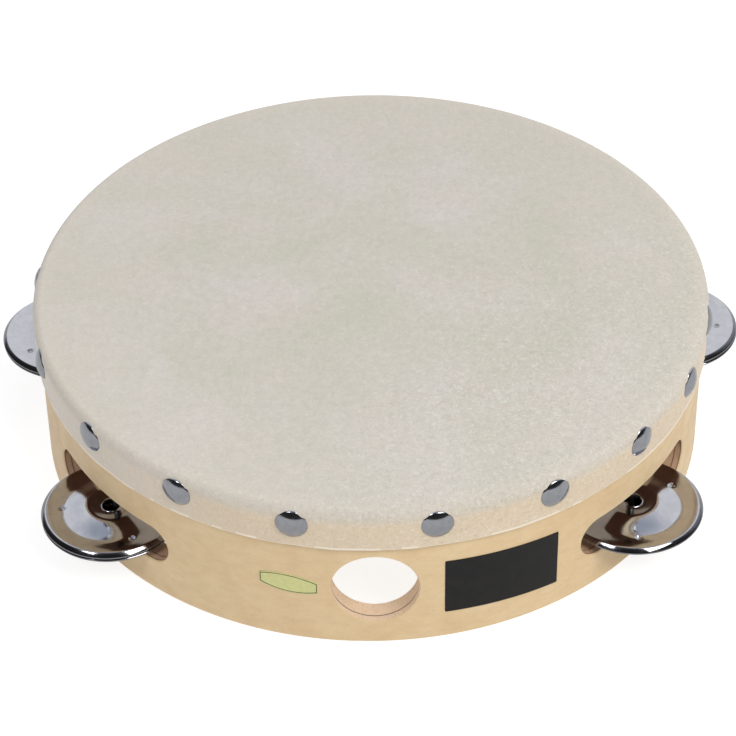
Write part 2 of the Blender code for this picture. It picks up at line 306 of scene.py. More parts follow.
def add_piece(name, mesh, materials, replaced, body="hoop", location=(0, 0, 0)):
    """Shows a mesh as a piece of the object, in place of a CAD node."""
    for material in materials:
        mesh.materials.append(material)
    mesh.shade_smooth()
    mesh.set_sharp_from_angle(angle=math.radians(SHARP_ANGLE))
    obj = bpy.data.objects.new(name, mesh)
    bpy.context.scene.collection.objects.link(obj)
    obj.location = location
    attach(obj, body)
    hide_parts(replaced)
    return obj


# ---------------------------------------------------------------- materials


def new_material(name):
    """A material's node tree and its Principled shader."""
    material = bpy.data.materials.new(name)
    material.use_nodes = True
    tree = material.node_tree
    return material, tree, tree.nodes["Principled BSDF"]


def add_node(tree, kind, inputs=None, **settings):
    """A node with its settings, and its inputs set to numbers or linked to sockets."""
    node = tree.nodes.new(kind)
    for key, value in settings.items():
        setattr(node, key, value)
    for key, value in (inputs or {}).items():
        if isinstance(value, bpy.types.NodeSocket):
            tree.links.new(value, node.inputs[key])
        else:
            node.inputs[key].default_value = value
    return node


def maths(tree, operation, a, b=0.0):
    return add_node(tree, "ShaderNodeMath", {0: a, 1: b}, operation=operation).outputs[0]


def noise_value(tree, vector, scale, detail=2.0, roughness=0.5, distortion=0.0):
    inputs = {
        "Vector": vector,
        "Scale": scale,
        "Detail": detail,
        "Roughness": roughness,
        "Distortion": distortion,
    }
    return add_node(tree, "ShaderNodeTexNoise", inputs).outputs["Fac"]


def ramp(tree, factor, stops):
    """A colour ramp through (place, colour) stops."""
    node = add_node(tree, "ShaderNodeValToRGB", {"Fac": factor})
    elements = node.color_ramp.elements
    while len(elements) < len(stops):
        elements.new(1.0)
    for element, (place, colour) in zip(elements, stops):
        element.position = place
        element.color = colour
    return node.outputs["Color"]


def between(tree, value, low, high, to_low=0.0, to_high=1.0):
    """A value mapped smoothly from one range to another, and held inside it."""
    inputs = {"Value": value, 1: low, 2: high, 3: to_low, 4: to_high}
    node = add_node(tree, "ShaderNodeMapRange", inputs, interpolation_type="SMOOTHSTEP")
    return node.outputs["Result"]


def mix(tree, factor, a, b):
    """One colour blended into another."""
    return add_node(tree, "ShaderNodeMix", {0: factor, 6: a, 7: b}, data_type="RGBA").outputs[2]


def bump(tree, height, distance, strength=1.0, normal=None):
    inputs = {"Height": height, "Distance": distance, "Strength": strength}
    if normal is not None:
        inputs["Normal"] = normal
    return add_node(tree, "ShaderNodeBump", inputs).outputs["Normal"]


def object_place(tree, offset=(0.0, 0.0, 0.0)):
    """Object coordinates, from a given origin, and their three parts."""
    place = add_node(tree, "ShaderNodeTexCoord").outputs["Object"]
    inputs = {0: place, 1: offset}
    moved = add_node(tree, "ShaderNodeVectorMath", inputs, operation="SUBTRACT").outputs[0]
    parts = add_node(tree, "ShaderNodeSeparateXYZ", {0: moved}).outputs
    return moved, parts


def flat_radius(tree, parts):
    squares = [maths(tree, "MULTIPLY", parts[i], parts[i]) for i in (0, 1)]
    return maths(tree, "SQRT", maths(tree, "ADD", *squares))


def wood_grain_place(tree, around, upright, through):
    """Coordinates in which noise stretches round the hoop with no seam, and the radius."""
    _, parts = object_place(tree, AXIS)
    radius = flat_radius(tree, parts)
    ring = maths(tree, "ADD", maths(tree, "MULTIPLY", radius, through), around)
    inputs = {
        0: maths(tree, "MULTIPLY", maths(tree, "DIVIDE", parts[0], radius), ring),
        1: maths(tree, "MULTIPLY", maths(tree, "DIVIDE", parts[1], radius), ring),
        2: maths(tree, "MULTIPLY", parts[2], upright),
    }
    return add_node(tree, "ShaderNodeCombineXYZ", inputs).outputs[0], radius


def wood_material():
    """Light maple, sanded and sealed, with its fine grain running round the hoop."""
    material, tree, shader = new_material("maple")
    place, _ = wood_grain_place(tree, 5.0, 420.0, 160.0)
    wide_place, _ = wood_grain_place(tree, 2.2, 60.0, 40.0)
    pore_place, _ = wood_grain_place(tree, 42.0, 2600.0, 900.0)
    broad = noise_value(tree, wide_place, 1.0, 3.0, 0.55, 0.6)
    fine = noise_value(tree, place, 1.0, 5.0, 0.62, 0.35)
    pores = noise_value(tree, pore_place, 1.0, 1.0, 0.5)
    base = ramp(
        tree,
        broad,
        [
            (0.30, srgb(224, 194, 150)),
            (0.50, srgb(229, 201, 157)),
            (0.72, srgb(233, 207, 165)),
        ],
    )
    lines = between(tree, fine, 0.38, 0.68)
    lined = mix(tree, maths(tree, "MULTIPLY", lines, 0.22), base, srgb(205, 171, 125))
    flecks = between(tree, pores, 0.66, 0.76)
    flecked = mix(tree, maths(tree, "MULTIPLY", flecks, 0.30), lined, srgb(178, 138, 92))
    tree.links.new(flecked, shader.inputs["Base Color"])
    rough = between(tree, fine, 0.3, 0.7, 0.36, 0.50)
    tree.links.new(rough, shader.inputs["Roughness"])
    height = maths(tree, "SUBTRACT", fine, maths(tree, "MULTIPLY", flecks, 0.7))
    tree.links.new(bump(tree, height, 0.00006, 0.5), shader.inputs["Normal"])
    shader.inputs["Specular IOR Level"].default_value = 0.42
    return material


def cut_wood_material():
    """Routed walls of the slots and the thumb hole: browner and rougher, with the glue line and
    painted shade on the walls that face down.
    """
    material, tree, shader = new_material("maple_cut")
    grain_place, radius = wood_grain_place(tree, 60.0, 300.0, 1800.0)
    place, parts = object_place(tree)
    streaks = noise_value(tree, grain_place, 1.0, 4.0, 0.65, 0.4)
    fuzz = noise_value(tree, place, 2600.0, 2.0, 0.6)
    base = ramp(
        tree,
        streaks,
        [
            (0.28, srgb(222, 188, 158)),
            (0.50, srgb(238, 212, 184)),
            (0.72, srgb(246, 227, 203)),
        ],
    )
    from_glue = maths(tree, "ABSOLUTE", maths(tree, "SUBTRACT", radius, GLUE_RADIUS))
    glue = between(tree, from_glue, 0.00008, 0.00026, 1.0, 0.0)
    glued = mix(tree, maths(tree, "MULTIPLY", glue, 0.85), base, srgb(92, 58, 40))
    edge = between(tree, radius, HOOP_RADIUS - 0.0007, HOOP_RADIUS - 0.0001)
    edged = mix(tree, maths(tree, "MULTIPLY", edge, 0.8), glued, srgb(232, 205, 168))
    # The slots, which all lie off to the sides of the thumb hole, are browner: partly the router's
    # burn, partly painted shade in their recesses.
    in_slot = between(tree, maths(tree, "ABSOLUTE", parts[0]), *BURN_AND_SHADE_BEYOND)
    burnt_and_shaded = mix(tree, maths(tree, "MULTIPLY", in_slot, 0.50), edged, srgb(158, 104, 62))
    slot_edge = between(tree, radius, HOOP_RADIUS - 0.0010, HOOP_RADIUS - 0.0003)
    charred = maths(tree, "MULTIPLY", maths(tree, "MULTIPLY", slot_edge, in_slot), 0.8)
    burnt_and_shaded = mix(tree, charred, burnt_and_shaded, srgb(104, 60, 30))
    # Painted shade: the walls that face down, such as the upper walls of the openings, are darkened
    # towards a deep brown.
    facing = add_node(tree, "ShaderNodeNewGeometry").outputs["Normal"]
    up = add_node(tree, "ShaderNodeSeparateXYZ", {0: facing}).outputs["Z"]
    painted_shade_below = between(tree, up, 0.15, -0.75, 0.0, 0.92)
    shaded_below = mix(tree, painted_shade_below, burnt_and_shaded, srgb(100, 54, 20))
    tree.links.new(shaded_below, shader.inputs["Base Color"])
    height = maths(tree, "ADD", streaks, maths(tree, "MULTIPLY", fuzz, 0.6))
    tree.links.new(bump(tree, height, 0.00012, 0.7), shader.inputs["Normal"])
    shader.inputs["Roughness"].default_value = 0.68
    shader.inputs["Specular IOR Level"].default_value = 0.25
    return material


def hide_material(name, lightened):
    """Scraped goatskin: cool mottling, a fine felted nap, and a warmer lap down the side."""
    material, tree, shader = new_material(name)
    place, parts = object_place(tree, AXIS)
    clouds = noise_value(tree, place, 26.0, 4.0, 0.55, 0.4)
    tint = noise_value(tree, place, 55.0, 3.0, 0.6, 0.8)
    mottle = noise_value(tree, place, 360.0, 3.0, 0.6, 0.4)
    nap = noise_value(tree, place, 950.0, 3.0, 0.7, 1.1)
    grain = noise_value(tree, place, 3400.0, 2.0, 0.6, 0.6)
    worn = noise_value(tree, place, 11.0, 2.0, 0.5)
    radius = flat_radius(tree, parts)
    base = ramp(
        tree,
        clouds,
        [
            (0.32, srgb(202, 198, 182)),
            (0.50, srgb(208, 202, 189)),
            (0.68, srgb(213, 206, 198)),
        ],
    )
    tinted = mix(tree, between(tree, tint, 0.45, 0.72, 0.0, 0.5), base, srgb(212, 201, 191))
    # The nap is coarser in patches, most of all towards the front right.
    along_right = maths(tree, "MULTIPLY", maths(tree, "SUBTRACT", parts[0], parts[1]), 4.0)
    patches = between(tree, maths(tree, "ADD", worn, along_right), 0.45, 1.05, 0.5, 1.0)
    light_nap = maths(tree, "MULTIPLY", between(tree, nap, 0.50, 0.68), patches)
    dark_nap = maths(tree, "MULTIPLY", between(tree, nap, 0.48, 0.32), patches)
    mottled = mix(tree, between(tree, mottle, 0.40, 0.66, 0.0, 0.26), tinted, srgb(188, 181, 170))
    fall = between(tree, parts[2], HEIGHT - WARMER_BELOW[0], HEIGHT - WARMER_BELOW[1])
    warm = mix(tree, maths(tree, "MULTIPLY", fall, 0.80), mottled, srgb(226, 204, 174))
    # Painted light: the lap is made lighter and greyer towards the left.
    painted_light_left = maths(tree, "MULTIPLY", between(tree, parts[0], -0.03, -0.095), fall)
    warm = mix(tree, maths(tree, "MULTIPLY", painted_light_left, 0.75), warm, srgb(225, 218, 209))
    rim = between(tree, radius, 0.0925, 0.0985)
    off_lap = maths(tree, "SUBTRACT", 1.0, fall)
    on_rim = maths(tree, "MULTIPLY", rim, off_lap)
    coloured = mix(tree, maths(tree, "MULTIPLY", on_rim, 0.5), warm, srgb(217, 206, 191))
    outer = maths(tree, "MULTIPLY", between(tree, radius, 0.055, 0.092, 0.0, 0.36), off_lap)
    coloured = mix(tree, outer, coloured, srgb(214, 206, 193))
    coloured = mix(tree, maths(tree, "MULTIPLY", light_nap, 0.42), coloured, srgb(240, 237, 228))
    coloured = mix(tree, maths(tree, "MULTIPLY", dark_nap, 0.27), coloured, srgb(166, 158, 145))
    if lightened:
        coloured = mix(tree, CUT_EDGE_LIGHTENING, coloured, srgb(246, 234, 216))
    tree.links.new(coloured, shader.inputs["Base Color"])
    height = maths(tree, "ADD", nap, maths(tree, "MULTIPLY", grain, 0.5))
    fine = bump(tree, height, 0.00016, 0.6)
    tree.links.new(bump(tree, clouds, 0.0011, 0.35, fine), shader.inputs["Normal"])
    shader.inputs["Roughness"].default_value = 0.78
    shader.inputs["Specular IOR Level"].default_value = 0.28
    shader.inputs["Sheen Weight"].default_value = 0.10
    shader.inputs["Sheen Roughness"].default_value = 0.6
    return material


def metal_material(name, light, dark, roughness, ring_scale, scratch):
    """Plated steel with hairline scratches and faint rings about the piece's upright axis."""
    material, tree, shader = new_material(name)
    place, parts = object_place(tree)
    radius = flat_radius(tree, parts)
    along = maths(tree, "MULTIPLY", radius, ring_scale)
    ringed = add_node(tree, "ShaderNodeCombineXYZ", {0: along}).outputs[0]
    rings = noise_value(tree, ringed, 1.0, 3.0, 0.6)
    drawn_out = {0: place, "Rotation": (0.0, 0.0, 0.7), "Scale": (4200.0, 260.0, 900.0)}
    stretch = add_node(tree, "ShaderNodeMapping", drawn_out).outputs[0]
    hairs = noise_value(tree, stretch, 1.0, 2.0, 0.6, 0.3)
    smudges = noise_value(tree, place, 260.0, 3.0, 0.6, 0.5)
    smudged = mix(tree, between(tree, smudges, 0.35, 0.7), light, dark)
    tree.links.new(smudged, shader.inputs["Base Color"])
    rough = between(tree, smudges, 0.3, 0.75, roughness * 0.75, roughness * 1.35)
    marked = maths(tree, "ADD", rough, between(tree, hairs, 0.62, 0.8, 0.0, 0.12))
    tree.links.new(marked, shader.inputs["Roughness"])
    height = maths(tree, "ADD", rings, maths(tree, "MULTIPLY", hairs, 0.6))
    tree.links.new(bump(tree, height, scratch, 0.5), shader.inputs["Normal"])
    shader.inputs["Metallic"].default_value = 1.0
    return material


def badge_material():
    material, tree, shader = new_material("badge_black")
    place, _ = object_place(tree)
    grain = noise_value(tree, place, 3000.0, 2.0, 0.6)
    dust = noise_value(tree, place, 240.0, 3.0, 0.6, 0.5)
    colour = mix(tree, between(tree, dust, 0.4, 0.75), srgb(27, 26, 26), srgb(34, 33, 32))
    tree.links.new(colour, shader.inputs["Base Color"])
    rough = between(tree, dust, 0.3, 0.75, 0.34, 0.46)
    tree.links.new(rough, shader.inputs["Roughness"])
    tree.links.new(bump(tree, grain, 0.00002, 0.4), shader.inputs["Normal"])
    shader.inputs["Specular IOR Level"].default_value = 0.22
    return material


def paper_material(name, light, dark):
    """Printed paper with a slight unevenness of the ink."""
    material, tree, shader = new_material(name)
    place, _ = object_place(tree)
    ink = noise_value(tree, place, 900.0, 3.0, 0.6, 0.3)
    printed = mix(tree, between(tree, ink, 0.35, 0.7), light, dark)
    tree.links.new(printed, shader.inputs["Base Color"])
    tree.links.new(bump(tree, ink, 0.00002, 0.3), shader.inputs["Normal"])
    shader.inputs["Roughness"].default_value = 0.42
    return material


# ---------------------------------------------------------------- hoop


def opening_stations():
    """(radius, widening) of an opening at steps through the wall, outside to inside. Both rims are
    rounded over, and a fine groove marks the glue line."""
    outer, inner = [], []
    for degrees in ROUTED_EDGE_ANGLES:
        turn = math.radians(degrees)
        depth = ROUTED_EDGE_RADIUS * (1.0 - math.sin(turn))
        widening = ROUTED_EDGE_RADIUS * (1.0 - math.cos(turn))
        outer.append((HOOP_RADIUS - depth, widening))
        inner.append((BORE_RADIUS + depth, widening))
    widest = outer[0][1]
    groove = [
        (GLUE_RADIUS + GLUE_GROOVE, 0.0),
        (GLUE_RADIUS, GLUE_GROOVE),
        (GLUE_RADIUS - GLUE_GROOVE, 0.0),
    ]
    start = [(HOOP_RADIUS + CUTTER_MARGIN, widest)]
    end = [(BORE_RADIUS - CUTTER_MARGIN, widest)]
    return start + outer + groove + inner[::-1] + end


def slot_lower_side(widening):
    """The slot's lower side as (distance along the hoop, height) points, from tip to tip."""
    radius = (SLOT_TOP - SLOT_BOTTOM) / 2
    middle = (SLOT_TOP + SLOT_BOTTOM) / 2
    straight = SLOT_WIDTH / 2 - radius
    left = arc(-straight, middle, radius + widening, 180, 270, SLOT_END_STEPS)
    right = arc(straight, middle, radius + widening, 270, 360, SLOT_END_STEPS)
    between_ends = []
    for step in range(1, SLOT_STRAIGHT_STEPS):
        share = 2.0 * step / SLOT_STRAIGHT_STEPS - 1.0
        between_ends.append((straight * share, middle - radius - widening))
    return left + between_ends + right


def slot_point(along, radius, z):
    return outward(math.degrees(along / HOOP_RADIUS)) * radius + Vector((0.0, 0.0, z))


def thumb_lower_side(widening):
    return arc(0.0, THUMB_HOLE_Z, THUMB_HOLE_RADIUS + widening, 180, 360, THUMB_HOLE_STEPS)


def thumb_point(along, radius, z):
    """The thumb hole is drilled straight through, so its sides keep their distance."""
    return Vector((along, -math.sqrt(radius**2 - along**2), z))


def opening_cutter(name, lower_side, middle, point, turn):
    """A closed cutter lofted through the stations. Its caps are strips from lower to upper side."""
    points = []
    for radius, widening in opening_stations():
        lower = lower_side(widening)
        upper = [(along, 2 * middle - z) for along, z in lower[-2:0:-1]]
        points += [point(along, radius, z) for along, z in lower + upper]
    stations = len(opening_stations())
    count = len(points) // stations
    faces = grid_faces(stations, count, False, True)
    tip = count // 2
    for first in (0, (stations - 1) * count):
        for i in range(tip):
            corners = dict.fromkeys((i, i + 1, (count - i - 1) % count, (count - i) % count))
            faces.append([first + corner for corner in corners])
    placing = Matrix.Translation(AXIS) @ Matrix.Rotation(math.radians(turn), 4, "Z")
    mesh = make_mesh(name, points, faces)
    mesh.transform(placing)
    return mesh


def pin_hole_cutter(name, angle):
    radius = PIN_RADIUS + PIN_CLEARANCE
    profile = [
        (0.0, -CUTTER_MARGIN),
        (radius * 2, -CUTTER_MARGIN),
        (radius * PIN_HOLE_FLARE, 0.0),
        (radius, PIN_HOLE_FLARE_DEPTH),
        (radius, PIN_TOP + PIN_HOLE_END),
        (0.0, PIN_TOP + PIN_HOLE_END),
    ]
    points, faces = lathe(profile, even_turns(PIN_HOLE_STEPS), closed=False)
    place = on_hoop(angle, PIN_CIRCLE_RADIUS, 0.0)
    return make_mesh(name, [Vector(p) + place for p in points], faces)


def tidy_cut(mesh):
    """Merges the points that a cut leaves all but on top of each other, and divides its many-sided
    faces, so that the mesh is still closed when it is triangulated."""
    bm = bmesh.new()
    bm.from_mesh(mesh)
    bmesh.ops.remove_doubles(bm, verts=bm.verts, dist=CUT_MERGE)
    bmesh.ops.dissolve_degenerate(bm, edges=bm.edges, dist=CUT_MERGE)
    many_sided = [face for face in bm.faces if len(face.verts) > 4]
    bmesh.ops.triangulate(bm, faces=many_sided, ngon_method="BEAUTY")
    bmesh.ops.dissolve_degenerate(bm, edges=bm.edges, dist=CUT_MERGE)
    bm.to_mesh(mesh)
    bm.free()


def cut_mesh(mesh, cutters):
    """The mesh with every cutter taken away from it."""
    target = bpy.data.objects.new("uncut", mesh)
    bpy.context.scene.collection.objects.link(target)
    made = [target]
    for cutter in cutters:
        tool = bpy.data.objects.new("cutter", cutter)
        bpy.context.scene.collection.objects.link(tool)
        made.append(tool)
        boolean = target.modifiers.new("cut", "BOOLEAN")
        boolean.operation = "DIFFERENCE"
        boolean.solver = "EXACT"
        boolean.object = tool
    graph = bpy.context.evaluated_depsgraph_get()
    result = bpy.data.meshes.new_from_object(target.evaluated_get(graph))
    for obj in made:
        bpy.data.objects.remove(obj)
    tidy_cut(result)
    return result


def mark_cut_faces(mesh):
    """Gives the walls of the openings the second material: faces that look round or up the hoop,
    away from its two edges."""
    for face in mesh.polygons:
        centre = face.center - AXIS
        radial = Vector((centre.x, centre.y, 0.0)).normalized()
        in_height = CUT_WALL_LOW < centre.z < CUT_WALL_HIGH
        inside = centre.xy.length < HOOP_RADIUS - CUT_WALL_DEPTH
        if abs(face.normal.dot(radial)) < CUT_WALL_TURN and in_height and inside:
            face.material_index = 1


def build_hoop(wood, cut_wood):
    openings = [opening_cutter("thumb", thumb_lower_side, THUMB_HOLE_Z, thumb_point, 0.0)]
    slot_middle = (SLOT_TOP + SLOT_BOTTOM) / 2
    for angle in SLOT_ANGLES:
        openings.append(opening_cutter("slot", slot_lower_side, slot_middle, slot_point, angle))
    pin_holes = [pin_hole_cutter("pin_hole", angle) for angle in SLOT_ANGLES]
    edge = BOTTOM_EDGE_RADIUS
    top = TOP_EDGE_RADIUS
    seam = GLUE_GROOVE
    outer = [(GLUE_RADIUS, seam), (GLUE_RADIUS + seam, 0.0)]
    outer += arc(HOOP_RADIUS - edge, edge, edge, -90, 0, EDGE_STEPS)
    outer += arc(HOOP_RADIUS - top, WOOD_HEIGHT - top, top, 0, 90, EDGE_STEPS)
    outer.append((GLUE_RADIUS, WOOD_HEIGHT))
    inner = [(GLUE_RADIUS - PLY_GAP, WOOD_HEIGHT)]
    inner += arc(BORE_RADIUS + edge, WOOD_HEIGHT - edge, edge, 90, 180, EDGE_STEPS)
    inner += arc(BORE_RADIUS + edge, edge, edge, 180, 270, EDGE_STEPS)
    inner += [(GLUE_RADIUS - seam, 0.0), (GLUE_RADIUS - PLY_GAP, seam)]
    for name, profile, cutters, node in (
        ("hoop_outer", outer, openings, "hoop_outer_ply"),
        ("hoop_inner", inner, openings + pin_holes, "hoop_inner_ply"),
    ):
        points, faces = lathe(profile, even_turns(HOOP_STEPS))
        blank = make_mesh(name, [Vector(p) + AXIS for p in points], faces)
        mesh = cut_mesh(blank, cutters)
        mark_cut_faces(mesh)
        obj = add_piece(name, mesh, (wood, cut_wood), node)
        weighted = obj.modifiers.new("face_weighted_normals", "WEIGHTED_NORMAL")
        weighted.keep_sharp = True


# ---------------------------------------------------------------- skin


def skin_profile():
    """The skin's outline from the middle of its top, over the edge, down to the lap's cut edge and
    back up inside: (radius, z, how much the tacks dent it, how much the edge's wave moves it)."""
    bend_r = HOOP_RADIUS - TOP_EDGE_RADIUS
    bend_z = WOOD_HEIGHT - TOP_EDGE_RADIUS
    outer_bend = HEAD_RADIUS - bend_r
    inner_bend = outer_bend - SKIN_THICKNESS
    half = SKIN_THICKNESS / 2
    rows = []
    for share in np.linspace(0.0, 1.0, SKIN_TOP_STEPS + 1)[:-1]:
        rows.append((bend_r * share**0.75, HEIGHT, 0.0, 0.0))
    for radius, z in arc(bend_r, bend_z, outer_bend, 90, 0, SKIN_BEND_STEPS):
        rows.append((radius, z, 0.0, 0.0))
    low = LAP_BOTTOM + half
    for share in np.linspace(0.0, 1.0, SKIN_LAP_STEPS + 1)[1:]:
        z = bend_z + (low - bend_z) * share
        rows.append((HEAD_RADIUS, z, 1.0, share**3))
    for radius, z in arc(HEAD_RADIUS - half, low, half, 0, -180, SKIN_EDGE_STEPS)[1:]:
        rows.append((radius, z, 0.3, 1.0))
    for radius, z in arc(bend_r, bend_z, inner_bend, 0, 90, EDGE_STEPS):
        rows.append((radius, z, 0.0, 0.0))
    rows.append((0.0, HEIGHT - SKIN_THICKNESS, 0.0, 0.0))
    return rows


def ring_noise(angle, frequency, seed):
    """Smooth noise round the hoop, from about -1 to 1, with no seam."""
    turn = math.radians(angle)
    place = Vector((math.cos(turn) * frequency, math.sin(turn) * frequency, seed))
    return 2.0 * noise.noise(place)


def tack_height(angle):
    """The tacks round the back are driven a little lower than those in front."""
    first, last = REAR_TACK_ANGLES
    return REAR_TACK_Z if first < angle < last else TACK_Z


def tack_dent(angle, z):
    """How deeply the tacks press the skin in at a place, from 0 to 1."""
    deepest = 0.0
    for tack in TACK_ANGLES:
        apart = (angle - tack + 180.0) % 360.0 - 180.0
        if abs(apart) < TACK_DENT_SPAN:
            along = math.radians(apart) * HEAD_RADIUS
            distance = math.hypot(along, z - tack_height(tack))
            deepest = max(deepest, math.exp(-((distance / TACK_DENT_REACH) ** 4)))
    return deepest


def build_skin(hide, cut_edge):
    rows = skin_profile()
    bend = HOOP_RADIUS - TOP_EDGE_RADIUS
    points = []
    for step in range(SKIN_STEPS):
        angle = 360.0 * step / SKIN_STEPS
        waves = [share * ring_noise(angle, *shape) for share, *shape in LAP_WAVES]
        wave = LAP_WAVE * sum(waves)
        swell = SKIN_SWELL * ring_noise(angle, *SKIN_SWELL_NOISE)
        for radius, z, dented, moved in rows:
            place_z = z + wave * moved
            place_r = radius
            if dented:
                place_r += dented * (swell * (1.0 - moved) - TACK_DENT * tack_dent(angle, place_z))
            elif z == HEIGHT and radius > 0.0:
                flat = outward(angle) * radius
                fade = min(1.0, (bend - radius) / SKIN_CALM)
                uneven = noise.noise(flat * SKIN_UNEVENNESS_FREQUENCY)
                place_z += SKIN_UNEVENNESS * uneven * fade
            points.append(outward(angle) * place_r + Vector((0.0, 0.0, place_z)) + AXIS)
    faces = grid_faces(SKIN_STEPS, len(rows), True, False)
    mesh = make_mesh("skin_head", points, faces)
    edge_top = LAP_BOTTOM + LAP_EDGE_HEIGHT
    for face in mesh.polygons:
        if face.center.z < edge_top and face.normal.z < LAP_EDGE_TURN:
            face.material_index = 1
    obj = add_piece("skin", mesh, (hide, cut_edge), "skin_head")


# ---------------------------------------------------------------- metal pieces


def build_tacks(nickel):
    sphere = (TACK_HEAD_RADIUS**2 + TACK_HEAD_HEIGHT**2) / (2 * TACK_HEAD_HEIGHT)
    reach = math.degrees(math.asin(TACK_HEAD_RADIUS / sphere))
    centre = TACK_SEAT + TACK_HEAD_HEIGHT - sphere
    dome = arc(0.0, centre, sphere, 90, 90 - reach * TACK_DOME_SHARE, TACK_DOME_STEPS)
    rim_r, rim_z = dome[-1]
    rim = [
        (rim_r + TACK_RIM * 0.55, rim_z - TACK_RIM * 0.75),
        (rim_r + TACK_RIM * 0.60, rim_z - TACK_RIM * 1.20),
        (rim_r + TACK_RIM * 0.10, rim_z - TACK_RIM * 1.60),
        (TACK_SHANK_RADIUS, TACK_SEAT - TACK_UNDERSIDE),
        (TACK_SHANK_RADIUS, TACK_SHANK_END),
        (0.0, TACK_POINT),
    ]
    draw = random.Random(TACK_SEED)
    for number, angle in enumerate(TACK_ANGLES, 1):
        node = f"tack_{number:02d}"
        points, faces = lathe(dome + rim, even_turns(TACK_STEPS), closed=False)
        mesh = make_mesh(node, points, faces)
        lean = [draw.uniform(-TACK_LEAN, TACK_LEAN) for _ in range(2)]
        rotation = (
            Matrix.Rotation(math.radians(angle), 4, "Z")
            @ Matrix.Rotation(math.radians(90 + lean[0]), 4, "X")
            @ Matrix.Rotation(math.radians(lean[1]), 4, "Y")
            @ Matrix.Rotation(draw.uniform(0.0, math.tau), 4, "Z")
        )
        mesh.transform(rotation @ Matrix.Translation((0.0, 0.0, -TACK_SEAT)))
        place = on_hoop(angle, TACK_SEAT, tack_height(angle))
        add_piece(node + "_head", mesh, (nickel,), node, "hoop", place)


def build_pins(steel):
    foot_share, foot_height = PIN_FOOT
    tip_share, tip_height = PIN_TIP
    profile = [
        (0.0, PIN_BOTTOM),
        (PIN_RADIUS * foot_share, PIN_BOTTOM),
        (PIN_RADIUS, PIN_BOTTOM + foot_height),
        (PIN_RADIUS, PIN_TOP - tip_height),
        (PIN_RADIUS * tip_share, PIN_TOP),
        (0.0, PIN_TOP),
    ]
    for number, angle in enumerate(SLOT_ANGLES, 1):
        points, faces = lathe(profile, even_turns(PIN_STEPS), closed=False)
        mesh = make_mesh(f"pin_{number}", points, faces)
        place = on_hoop(angle, PIN_CIRCLE_RADIUS, 0.0)
        node = f"jingle_pin_{number}"
        add_piece(f"pin_{number}_shaft", mesh, (steel,), node, "hoop", place)


def smooth_line(controls, spacing):
    """Points close together on a smooth line through (radius, z) controls, ordered by radius."""
    radii = np.array([r for r, _ in controls])
    heights = np.array([z for _, z in controls])
    slopes = np.gradient(heights, radii)
    points = []
    for i in range(len(controls) - 1):
        width = radii[i + 1] - radii[i]
        steps = max(1, math.ceil(width / spacing))
        for step in range(steps):
            t = step / steps
            z = (
                (2 * t**3 - 3 * t**2 + 1) * heights[i]
                + (t**3 - 2 * t**2 + t) * width * slopes[i]
                + (-2 * t**3 + 3 * t**2) * heights[i + 1]
                + (t**3 - t**2) * width * slopes[i + 1]
            )
            points.append((radii[i] + width * t, z))
    return points


def jingle_outline():
    """The upper jingle's section, with z = 0 at its rim: hole lip, dip, crown, dished ring, turned
    rim and skirt, then back under."""
    face = [
        (0.00290, 0.00050),
        (0.0032, 0.00044),
        (0.0036, 0.00047),
        (0.0050, 0.00070),
        (0.0060, 0.00092),
        (0.0068, 0.00100),
        (0.0074, 0.00093),
        (0.0082, 0.00074),
        (0.0128, -0.00060),
        (0.0135, -0.00073),
        (0.0142, -0.00075),
        (0.0153, -0.00064),
        (0.0172, -0.00034),
        (0.0188, -0.00012),
    ]
    sheet = JINGLE_SHEET
    radius = JINGLE_RADIUS
    top = smooth_line(face, FACE_SPACING)
    under = [(r, z - sheet) for r, z in smooth_line(face, UNDERSIDE_SPACING)]
    rim = arc(radius - 0.0013, -0.0006, 0.0005, 80, 48, 5)
    skirt = arc(radius - 0.0003, -0.00130, 0.0003, 40, 0, 4) + [
        (radius, -JINGLE_HEIGHT + 0.00012),
        (radius - 0.00012, -JINGLE_HEIGHT),
        (radius - sheet + 0.0001, -JINGLE_HEIGHT),
        (radius - sheet, -JINGLE_HEIGHT + 0.0001),
        (radius - sheet, -0.00140),
        (radius - sheet - 0.0009, -0.00080),
    ]
    lip = [(0.00250, 0.00046), (0.00248, 0.00034), (0.00252, 0.00016)]
    collar = [(0.00282, 0.00062), (0.00270, 0.00067), (0.00257, 0.00061)]
    return top + rim + skirt + under[::-1] + lip[::-1] + collar[::-1]


def jingle_turns():
    """Angles round a jingle: close together at its three dimples, and wider apart between them."""
    reach = DIMPLE_STEPS * DIMPLE_STEP
    gap = 360.0 / len(DIMPLE_ANGLES) - 2 * reach
    turns = []
    for dimple in DIMPLE_ANGLES:
        for step in range(-DIMPLE_STEPS, DIMPLE_STEPS):
            turns.append(dimple + step * DIMPLE_STEP)
        for step in range(BETWEEN_DIMPLES_STEPS):
            turns.append(dimple + reach + gap * step / BETWEEN_DIMPLES_STEPS)
    return [math.radians(turn) for turn in sorted(turns)]


def dimple_depth(x, y):
    """How deeply the dimples press a jingle's ring in at a place."""
    depth = 0.0
    for dimple in DIMPLE_ANGLES:
        turn = math.radians(dimple)
        centre_x = DIMPLE_CIRCLE_RADIUS * math.cos(turn)
        centre_y = DIMPLE_CIRCLE_RADIUS * math.sin(turn)
        share = math.hypot(x - centre_x, y - centre_y) / DIMPLE_RADIUS
        if share < 1.0:
            depth += DIMPLE_DEPTH * (1.0 - share**2) ** 2
    return depth


